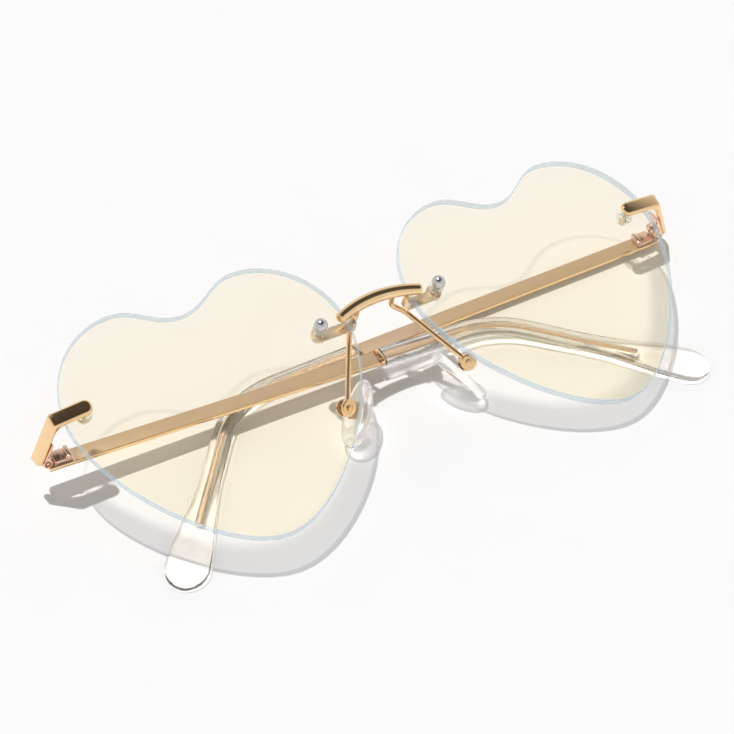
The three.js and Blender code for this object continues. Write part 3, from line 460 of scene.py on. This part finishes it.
def lens_finish(side):
    finish, tree, shader = new_finish(f"{side}_lens_tint")
    split = place_on_lens(tree, side)
    height = spread(tree, split.outputs["Y"], 0.0, 1.0, -LENS_HALF_HEIGHT, LENS_HALF_HEIGHT)
    face = tree.nodes.new("ShaderNodeBsdfTransparent")
    tree.links.new(ramp(tree, height, LENS_FACE_DEPTH), face.inputs["Color"])
    speck = cloud(tree, place_on_piece(tree), 300.0)
    tree.links.new(spread(tree, speck, 0.04, 0.08), shader.inputs["Roughness"])
    gloss_stops = ((0.3, (0.96, 0.89, 0.72)), (0.7, (0.98, 0.91, 0.76)))
    tree.links.new(ramp(tree, speck, gloss_stops), shader.inputs["Base Color"])
    shader.inputs["Specular IOR Level"].default_value = 0.3
    sheet_mix = tree.nodes.new("ShaderNodeMixShader")
    sheet_mix.inputs["Fac"].default_value = 0.045
    tree.links.new(face.outputs["BSDF"], sheet_mix.inputs[1])
    tree.links.new(shader.outputs["BSDF"], sheet_mix.inputs[2])

    edge_share = edge_mask(tree, side)
    edge = tree.nodes.new("ShaderNodeBsdfPrincipled")
    edge_stops = ((0.3, (0.38, 0.55, 0.71)), (0.7, (0.46, 0.63, 0.77)))
    tree.links.new(ramp(tree, speck, edge_stops), edge.inputs["Base Color"])
    edge.inputs["Roughness"].default_value = 0.25
    edge.inputs["Alpha"].default_value = 0.50
    # The emission is a painted glow: it brightens the cut edge, which is no lamp.
    edge.inputs["Emission Color"].default_value = (0.50, 0.78, 0.95, 1)
    edge.inputs["Emission Strength"].default_value = 0.10
    seen = tree.nodes.new("ShaderNodeMixShader")
    tree.links.new(edge_share, seen.inputs["Fac"])
    tree.links.new(sheet_mix.outputs["Shader"], seen.inputs[1])
    tree.links.new(edge.outputs["BSDF"], seen.inputs[2])

    zone = lower_zone(tree, split)
    band_shade = ramp(tree, zone, ((0.0, (1.0, 0.995, 0.985)), (1.0, (0.77, 0.77, 0.775))))
    line_shade = ramp(tree, zone, ((0.0, (0.84, 0.84, 0.84)), (1.0, (0.45, 0.46, 0.48))))
    rim_shade = tree.nodes.new("ShaderNodeMix")
    rim_shade.data_type = "RGBA"
    tree.links.new(edge_share, rim_shade.inputs["Factor"])
    tree.links.new(band_shade, rim_shade.inputs["A"])
    tree.links.new(line_shade, rim_shade.inputs["B"])
    lamp_pass = tree.nodes.new("ShaderNodeBsdfTransparent")
    tree.links.new(rim_shade.outputs["Result"], lamp_pass.inputs["Color"])
    lamp_ray = tree.nodes.new("ShaderNodeLightPath")
    either = tree.nodes.new("ShaderNodeMixShader")
    tree.links.new(lamp_ray.outputs["Is Shadow Ray"], either.inputs["Fac"])
    tree.links.new(seen.outputs["Shader"], either.inputs[1])
    tree.links.new(lamp_pass.outputs["BSDF"], either.inputs[2])
    tree.links.new(either.outputs["Shader"], tree.nodes["Material Output"].inputs["Surface"])
    return finish


lens_tints = {side: lens_finish(side) for side in SIDES}
print("finishes:", [f.name for f in lens_tints.values()])

# %% [markdown]
# ## Shape helpers
#
# Pieces are built with bmesh, and a few moves come back often: rounding edges, giving a flat face its
# thickness, cutting off what lies past a plane, and joining two shapes.

# %% Shape helpers
WELD = 0.002 * MM


def round_edges(shape, edges, offset, segments, clamp=True):
    bmesh.ops.bevel(
        shape, geom=edges, offset=offset * MM, segments=segments, profile=0.5, affect="EDGES",
        material=-1, clamp_overlap=clamp)


def shade_smooth(shape, sharp):
    for face in shape.faces:
        face.smooth = True
    for line in shape.edges:
        line.smooth = not line.is_manifold or line.calc_face_angle(0.0) < math.radians(sharp)


def thicken(shape, faces, move):
    raised = bmesh.ops.extrude_face_region(shape, geom=faces)
    far = [item for item in raised["geom"] if isinstance(item, bmesh.types.BMVert)]
    bmesh.ops.translate(shape, verts=far, vec=move)
    bmesh.ops.recalc_face_normals(shape, faces=shape.faces)


def cut_off(shape, point, direction):
    everything = shape.verts[:] + shape.edges[:] + shape.faces[:]
    cut = bmesh.ops.bisect_plane(
        shape, geom=everything, plane_co=point, plane_no=direction, clear_outer=True)
    return [item for item in cut["geom_cut"] if isinstance(item, bmesh.types.BMEdge)]


def add_shape(shape, other):
    carrier = bpy.data.meshes.new("carrier")
    other.to_mesh(carrier)
    other.free()
    shape.from_mesh(carrier)
    bpy.data.meshes.remove(carrier)


print("shape helpers ready, weld distance in mm:", WELD / MM)

# %% [markdown]
# ## Smooth copies of the solids
#
# The solids arrive as loose flat triangles, and polished metal would show every facet. A copy is welded,
# its flat areas are joined, the real edges get a small bevel, and the rest is shaded smooth. The copy lies
# exactly where its solid does, and rides on the same body.

# %% Smooth copies
FLAT_FACE = 0.8
BODY_OF = {node: body for body, nodes in frame["record"]["behaviour"]["bodies"].items() for node in nodes}


def smooth_copy(node, finish, sharp=35.0, edge=0.0, side_finish=None, segments=2):
    shape = bmesh.new()
    shape.from_mesh(frame["nodes"][node].data)
    bmesh.ops.remove_doubles(shape, verts=shape.verts, dist=WELD)
    bmesh.ops.dissolve_limit(shape, angle_limit=math.radians(0.5), verts=shape.verts, edges=shape.edges)
    corners = [e for e in shape.edges if e.is_manifold and e.calc_face_angle(0.0) > math.radians(sharp)]
    if edge > 0.0:
        round_edges(shape, corners, edge, segments)
    shade_smooth(shape, sharp)
    mesh = bpy.data.meshes.new(f"{node}_smooth")
    shape.to_mesh(mesh)
    shape.free()
    mesh.materials.append(finish)
    if side_finish:
        mesh.materials.append(side_finish)
        for face in mesh.polygons:
            face.material_index = 1 if abs(face.normal.z) < FLAT_FACE else 0
    piece = bpy.data.objects.new(f"{node}_smooth", mesh)
    bpy.context.scene.collection.objects.link(piece)
    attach(piece, BODY_OF[node])
    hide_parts(node)
    return piece


copies = []
for side in SIDES:
    copies.append(smooth_copy(f"{side}_bridge_lug", pale_finish, edge=0.38, segments=5))
    for name in ("bridge_screw", "end_post", "pad_screw"):
        copies.append(smooth_copy(f"{side}_{name}", gold_finish, edge=0.06))
    copies.append(smooth_copy(f"{side}_tip_collar", gold_finish, edge=0.10))
    for name in ("hinge_block", "hinge_screw"):
        copies.append(smooth_copy(f"{side}_{name}", rose_finish, edge=0.08))
    copies.append(smooth_copy(f"{side}_temple_bar", satin_finish, edge=0.06, side_finish=gold_finish))
    copies.append(smooth_copy(f"{side}_pad_mount", dull_finish, edge=0.04))
    copies.append(smooth_copy(f"{side}_temple_tip", tip_finish))
    copies.append(smooth_copy(f"{side}_bridge_washer", washer_finish, edge=0.08))
    copies.append(smooth_copy(f"{side}_end_bush", washer_finish, edge=0.10))
print("smooth copies:", len(copies), "faces:", sum(len(c.data.polygons) for c in copies))

# %% [markdown]
# ## New pieces
#
# A new piece is put in place by one matrix, shaded smooth apart from its sharp edges, and rides on the body
# of the solid that it stands for, which is hidden. A mirror turns faces inside out, so the normals are worked
# out again. Some bmesh calls list their faces in another order each run, so corners and faces are sorted by
# where they lie. A face only starts at another corner where it still splits into the same triangles.

# %% New pieces
SAFE_TURN = {3: 1, 4: 2}


def in_order(shape):
    corners = sorted(shape.verts, key=lambda vert: vert.co[:])
    rank = {vert: number for number, vert in enumerate(corners)}
    rings = []
    for face in shape.faces:
        ring = [rank[vert] for vert in face.verts]
        step = SAFE_TURN.get(len(ring), len(ring))
        first = ring.index(min(ring[::step]))
        rings.append(ring[first:] + ring[:first])
    ordered = bmesh.new()
    placed = [ordered.verts.new(vert.co) for vert in corners]
    for ring in sorted(rings, key=sorted):
        ordered.faces.new([placed[number] for number in ring])
    ordered.normal_update()
    shape.free()
    return ordered


def finished_piece(name, shape, place, finish, node, sharp=40.0):
    bmesh.ops.transform(shape, matrix=place, verts=shape.verts)
    bmesh.ops.recalc_face_normals(shape, faces=shape.faces)
    shape = in_order(shape)
    shade_smooth(shape, sharp)
    mesh = bpy.data.meshes.new(name)
    shape.to_mesh(mesh)
    shape.free()
    mesh.materials.append(finish)
    piece = bpy.data.objects.new(name, mesh)
    bpy.context.scene.collection.objects.link(piece)
    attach(piece, BODY_OF[node])
    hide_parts(node)
    print(name, "faces:", len(mesh.polygons))


print("new pieces stand for solids of", len(frame["nodes"]))

# %% [markdown]
# ## Bridge
#
# The bridge is a fat round bar bent to a flat arch, a little thinner toward its blunt, rounded ends. A
# curve with a bevel could make it, but a spin of one circle gives clean rings, and the taper and the
# rounded ends are then a scale of the rings and a bevel of the end rims.

# %% Bridge
BRIDGE_CROWN = Vector((0, 10.92, 4.30)) * MM
BRIDGE_ARC_RADIUS = 25.26
BRIDGE_HALF_SPAN = 9.85
BRIDGE_ARC = BRIDGE_ARC_RADIUS * MM
BRIDGE_HALF_ANGLE = math.asin(BRIDGE_HALF_SPAN / BRIDGE_ARC_RADIUS)
BRIDGE_TAPER = 0.14
BRIDGE_END_ROUNDING = 0.55
BRIDGE_RADIUS = 1.36 * MM

bar = bmesh.new()
bmesh.ops.create_circle(bar, segments=28, radius=BRIDGE_RADIUS)
bmesh.ops.rotate(bar, verts=bar.verts, cent=(0, 0, 0), matrix=Matrix.Rotation(math.pi / 2, 3, "Y"))
bmesh.ops.translate(bar, verts=bar.verts, vec=BRIDGE_CROWN)
arc_middle = BRIDGE_CROWN - Vector((0, BRIDGE_ARC, 0))
bmesh.ops.rotate(bar, verts=bar.verts, cent=arc_middle, matrix=Matrix.Rotation(BRIDGE_HALF_ANGLE, 3, "Z"))
bmesh.ops.spin(
    bar, geom=bar.verts[:] + bar.edges[:], cent=arc_middle, axis=(0, 0, -1), angle=2 * BRIDGE_HALF_ANGLE,
    steps=36, use_merge=False)
for vert in bar.verts:
    angle = math.atan2(vert.co.x, vert.co.y - arc_middle.y)
    middle = arc_middle + Vector((math.sin(angle), math.cos(angle), 0)) * BRIDGE_ARC
    vert.co = middle + (vert.co - middle) * (1 - BRIDGE_TAPER * (angle / BRIDGE_HALF_ANGLE) ** 2)
rims = [e for e in bar.edges if e.is_boundary]
bmesh.ops.holes_fill(bar, edges=rims, sides=0)
round_edges(bar, rims, BRIDGE_END_ROUNDING, 5)
finished_piece("bridge_bar", bar, FRONT, gold_finish, "bridge")

# %% [markdown]
# ## End pieces
#
# Each end piece is a strip folded back at a crease. The outer crease stays fairly crisp, the inner corner
# is a soft bend, and the long edges are polished round, which is where the bright gold rims come from. The
# strip is put in order before its rear is cut off, or the cut's corners vary in their last digit.

# %% End pieces
END_PLACE = (
    LENS_PLACE
    @ Matrix.Translation(Vector((26.7, 11.0, 1.15)) * MM)
    @ Matrix.Rotation(math.radians(-4.0), 4, "Z"))
END_HALF_WIDTH = 1.7
END_NOSE = -1.7
END_INNER = (6.60, 0.0)
END_CREASE = (7.30, 1.1)
END_TAIL = (12.90, -10.9)
END_SIDE = ((END_NOSE, 0.0), END_INNER, (11.68, -10.9), END_TAIL, END_CREASE, (END_NOSE, 1.1))
INNER_BEND = 1.8
CREASE_ROUNDING = 0.45
NOSE_ROUNDING = 1.55
OUTSIDE_ROUNDING = 0.7
INSIDE_ROUNDING = 0.28
TOUCH = 0.01 * MM
ROLL_UP = Vector((math.sin(FRONT_ROLL), 0, math.cos(FRONT_ROLL)))


def edges_at(shape, x, z):
    return [e for e in shape.edges if all(
        abs(v.co.x - x * MM) < TOUCH and abs(v.co.z - z * MM) < TOUCH for v in e.verts)]


def open_rims(shape):
    return [e for e in shape.edges if e.is_convex and e.calc_face_angle(0.0) > math.radians(50)]


def on_outside(vert):
    along = vert.co.x / MM
    height = vert.co.z / MM
    back = (END_TAIL[0] - END_CREASE[0]) / (END_CREASE[1] - END_TAIL[1])
    return height > 0.95 or along > END_CREASE[0] + back * (END_CREASE[1] - height) - 0.35


def end_strip(side):
    node = f"{side}_end_piece"
    shape = bmesh.new()
    outline = [shape.verts.new(Vector((x, -END_HALF_WIDTH, z)) * MM) for x, z in END_SIDE]
    thicken(shape, [shape.faces.new(outline)], (0, 2 * END_HALF_WIDTH * MM, 0))
    round_edges(shape, edges_at(shape, *END_INNER), INNER_BEND, 8)
    round_edges(shape, edges_at(shape, *END_CREASE), CREASE_ROUNDING, 4)
    nose = [e for e in shape.edges if all(abs(v.co.x - END_NOSE * MM) < TOUCH for v in e.verts)
            and abs(e.verts[0].co.y - e.verts[1].co.y) < TOUCH]
    round_edges(shape, nose, NOSE_ROUNDING, 8)
    outside = [e for e in open_rims(shape) if all(on_outside(v) for v in e.verts)]
    round_edges(shape, outside, OUTSIDE_ROUNDING, 7, clamp=False)
    round_edges(shape, open_rims(shape), INSIDE_ROUNDING, 3, clamp=False)
    shape = in_order(shape)
    lean = math.tan(FRONT_TILT)
    for vert in shape.verts:
        vert.co.y += lean * min(0.0, vert.co.z)
    bmesh.ops.transform(shape, matrix=PLACE[side] @ END_PLACE, verts=shape.verts)
    rear = min(ROLL_UP.dot(v.co) for v in frame["nodes"][node].data.vertices)
    bmesh.ops.contextual_create(shape, geom=cut_off(shape, ROLL_UP * rear, -ROLL_UP))
    finished_piece(f"{side}_end_strip", shape, Matrix.Identity(4), gold_finish, node, sharp=50.0)


for side in SIDES:
    end_strip(side)

# %% [markdown]
# ## Hinge leaves
#
# The temple's half of the hinge is a short thick block on the end of the bar, with the middle knuckle in
# front of it and a raised rib across its far end. The knuckle comes from the solid, cut off just inside
# the block, and the block and rib are bevelled boxes.

# %% Hinge leaves
LEAF_TILT = {"left": 2.2, "right": 0.0}
LEAF_TOWARD = {"left": 1.0, "right": -1.0}
HINGES = {joint["child"]: joint for joint in frame["joints"]}
BLOCK_START = 1.45
BLOCK_END = 5.2
BLOCK_HALF_WIDTH = 1.6
BLOCK_BOTTOM = -1.12
BLOCK_TOP = -0.1
BLOCK_ROUNDING = 0.28
RIB_LENGTH = 0.95
RIB_TOP = 0.42
RIB_SINK = 0.4
RIB_ROUNDING = 0.18
KNUCKLE_OVERLAP = 0.6


def add_box(shape, low, high, rounding):
    made = bmesh.ops.create_cube(shape, size=1.0)
    low_corner = Vector(low) * MM
    high_corner = Vector(high) * MM
    bmesh.ops.scale(shape, verts=made["verts"], vec=high_corner - low_corner)
    bmesh.ops.translate(shape, verts=made["verts"], vec=(low_corner + high_corner) / 2)
    round_edges(shape, list({e for v in made["verts"] for e in v.link_edges}), rounding, 3)


def hinge_leaf(side):
    node = f"{side}_hinge_leaf"
    joint = HINGES[f"{side}_temple"]
    middle = Vector(joint["pos_m"])
    tilt = math.radians(LEAF_TILT[side])
    up = Vector((math.sin(tilt), 0, math.cos(tilt)))
    along_axis = Vector(joint["axis"]).normalized()
    if along_axis.y < 0:
        along_axis = -along_axis
    outward = along_axis.cross(up).normalized()
    place = Matrix.Translation(middle) @ Matrix((outward, along_axis, up)).transposed().to_4x4()
    toward = LEAF_TOWARD[side]
    shape = bmesh.new()
    near, far = sorted((toward * BLOCK_START, toward * BLOCK_END))
    low = (near, -BLOCK_HALF_WIDTH, BLOCK_BOTTOM)
    add_box(shape, low, (far, BLOCK_HALF_WIDTH, BLOCK_TOP), BLOCK_ROUNDING)
    near, far = sorted((toward * (BLOCK_END - RIB_LENGTH), toward * BLOCK_END))
    low = (near, -BLOCK_HALF_WIDTH, BLOCK_TOP - RIB_SINK)
    add_box(shape, low, (far, BLOCK_HALF_WIDTH, RIB_TOP), RIB_ROUNDING)
    bmesh.ops.transform(shape, matrix=place, verts=shape.verts)
    solid = bmesh.new()
    solid.from_mesh(frame["nodes"][node].data)
    bmesh.ops.remove_doubles(solid, verts=solid.verts, dist=WELD)
    limit = middle + outward * (toward * (BLOCK_START + KNUCKLE_OVERLAP) * MM)
    bmesh.ops.holes_fill(solid, edges=cut_off(solid, limit, outward * toward), sides=0)
    add_shape(shape, solid)
    finished_piece(f"{side}_hinge_knuckle", shape, Matrix.Identity(4), rose_finish, node)


for side in SIDES:
    hinge_leaf(side)

# %% [markdown]
# ## Ball nuts
#
# A chrome ball nut closes each bridge screw on the front of the lens. Half of its outline, spun once
# round, makes it: a short foot and then the ball.

# %% Ball nuts
NUT_PLACE = LENS_PLACE @ Matrix.Translation(Vector((-24.9, 10.1, 0)) * MM)
BALL_RADIUS = 1.45
BALL_MIDDLE = 2.62
BALL_STEPS = 14
BALL_FROM = -40
BALL_SWEEP = 130
FOOT_HEIGHT = 1.8
FOOT_RADIUS = 0.95

for side in SIDES:
    ball = bmesh.new()
    outline = [(0.0, FOOT_HEIGHT), (FOOT_RADIUS, FOOT_HEIGHT)]
    for step in range(BALL_STEPS + 1):
        angle = math.radians(BALL_FROM + BALL_SWEEP * step / BALL_STEPS)
        outline.append((BALL_RADIUS * math.cos(angle), BALL_MIDDLE + BALL_RADIUS * math.sin(angle)))
    chain = [ball.verts.new((max(r, 0.0) * MM, 0, z * MM)) for r, z in outline]
    rails = [ball.edges.new(pair) for pair in zip(chain, chain[1:])]
    bmesh.ops.spin(
        ball, geom=chain + rails, cent=(0, 0, 0), axis=(0, 0, 1), angle=2 * math.pi, steps=32,
        use_merge=True)
    bmesh.ops.remove_doubles(ball, verts=ball.verts, dist=WELD)
    finished_piece(f"{side}_ball_nut", ball, PLACE[side] @ NUT_PLACE, chrome_finish, f"{side}_bridge_nut")

# %% [markdown]
# ## Pad arms
#
# A gold wire leaves the back of the bridge, bends at an elbow and runs down to a small barrel that holds
# the pad. The wire is a curve with a round bevel, made a mesh. The barrel is two cheeks and a web
# behind them, so that the pad's tab has its slot to rock in.

# %% Pad arms
WIRE_RADIUS = 0.58
WIRE_POINTS = ((4.1, 10.6, 3.2), (4.2, 10.4, -0.7), (6.6, 8.3, -1.3))
WIRE_BEND = 1.3
PAD_PIVOT = Vector((0, 0.5, 3.3))
BARREL_RADIUS = 1.82
CHEEK_INNER = 0.65
CHEEK_OUTER = 1.3
CHEEK_ROUNDING = 0.38
WEB_OVERLAP = 0.05
WEB_FRONT = 1.25
WIRE_END = 1.9
BEND_STEPS = 6


def soft_corners(points, reach):
    route = [points[0]]
    for before, corner, after in zip(points, points[1:], points[2:]):
        start = corner + (before - corner).normalized() * reach
        end = corner + (after - corner).normalized() * reach
        for step in range(BEND_STEPS + 1):
            share = step / BEND_STEPS
            route.append(start.lerp(corner, share).lerp(corner.lerp(end, share), share))
    return route + [points[-1]]


def wire_mesh(points, radius):
    data = bpy.data.curves.new("wire_line", "CURVE")
    data.dimensions = "3D"
    data.bevel_depth = radius
    data.bevel_resolution = 5
    data.use_fill_caps = True
    line = data.splines.new("POLY")
    line.points.add(len(points) - 1)
    for knot, point in zip(line.points, points):
        knot.co = (*point, 1)
    holder = bpy.data.objects.new("wire_line", data)
    mesh = bpy.data.meshes.new_from_object(holder)
    bpy.data.objects.remove(holder)
    return mesh


def add_disc(shape, radius, start, end):
    made = bmesh.ops.create_cone(
        shape, cap_ends=True, segments=36, radius1=radius * MM, radius2=radius * MM,
        depth=(end - start) * MM)
    on_side = Matrix.Rotation(math.pi / 2, 3, "Y")
    bmesh.ops.rotate(shape, verts=made["verts"], cent=(0, 0, 0), matrix=on_side)
    bmesh.ops.translate(shape, verts=made["verts"], vec=Vector(((start + end) / 2, 0, 0)) * MM)


def barrel():
    shape = bmesh.new()
    add_disc(shape, BARREL_RADIUS, CHEEK_INNER, CHEEK_OUTER)
    add_disc(shape, BARREL_RADIUS, -CHEEK_OUTER, -CHEEK_INNER)
    rims = [
        e for e in shape.edges
        if e.calc_face_angle(0.0) > 1.0 and abs(e.verts[0].co.x) > (CHEEK_OUTER - 0.1) * MM]
    round_edges(shape, rims, CHEEK_ROUNDING, 4)
    web = bmesh.new()
    add_disc(web, BARREL_RADIUS - WEB_OVERLAP, -CHEEK_INNER - WEB_OVERLAP, CHEEK_INNER + WEB_OVERLAP)
    bmesh.ops.contextual_create(web, geom=cut_off(web, (0, WEB_FRONT * MM, 0), (0, -1, 0)))
    add_shape(shape, web)
    bmesh.ops.translate(shape, verts=shape.verts, vec=PAD_PIVOT * MM)
    return shape


for side in SIDES:
    arm = barrel()
    bmesh.ops.transform(arm, matrix=PAD_PLACE, verts=arm.verts)
    route = [Vector(point) * MM for point in WIRE_POINTS]
    route.append(PAD_PLACE @ (Vector((0, WIRE_END, PAD_PIVOT.z)) * MM))
    wire = wire_mesh(soft_corners(route, WIRE_BEND * MM), WIRE_RADIUS * MM)
    arm.from_mesh(wire)
    bpy.data.meshes.remove(wire)
    finished_piece(f"{side}_pad_wire", arm, PLACE[side], gold_finish, f"{side}_pad_arm")

# %% [markdown]
# ## Nose pads
#
# A pad is an egg-shaped disc of soft clear plastic, moulded round the metal tab. A circle is stretched to
# the egg, given its thickness, and its two rims are rounded by a wide bevel.

# %% Nose pads
PAD_LENGTH = 14.5
PAD_WIDTH = 7.6
PAD_THICKNESS = 2.4
PAD_TAPER = 0.14
PAD_ROUNDING = 1.15

for side in SIDES:
    pad = bmesh.new()
    bmesh.ops.create_circle(pad, cap_ends=True, segments=56, radius=1.0)
    for vert in pad.verts:
        vert.co.x *= PAD_WIDTH / 2 * (1 - PAD_TAPER * vert.co.y) * MM
        vert.co.y *= PAD_LENGTH / 2 * MM
    bmesh.ops.translate(pad, verts=pad.verts, vec=(0, 0, -PAD_THICKNESS / 2 * MM))
    thicken(pad, pad.faces[:], (0, 0, PAD_THICKNESS * MM))
    rims = [e for e in pad.edges if e.calc_face_angle(0.0) > 1.0]
    round_edges(pad, rims, PAD_ROUNDING, 8)
    place = PLACE[side] @ PAD_PLACE
    finished_piece(f"{side}_clear_pad", pad, place, pad_finish, f"{side}_nose_pad", sharp=60.0)

# %% [markdown]
# ## Lenses
#
# The lens solids already have their exact outline and chamfer, so they stay and only take their tint.

# %% Lenses
for side in SIDES:
    lens = frame["nodes"][f"{side}_lens"]
    lens.data.materials.clear()
    lens.data.materials.append(lens_tints[side])
    print(lens.name, "faces:", len(lens.data.polygons))
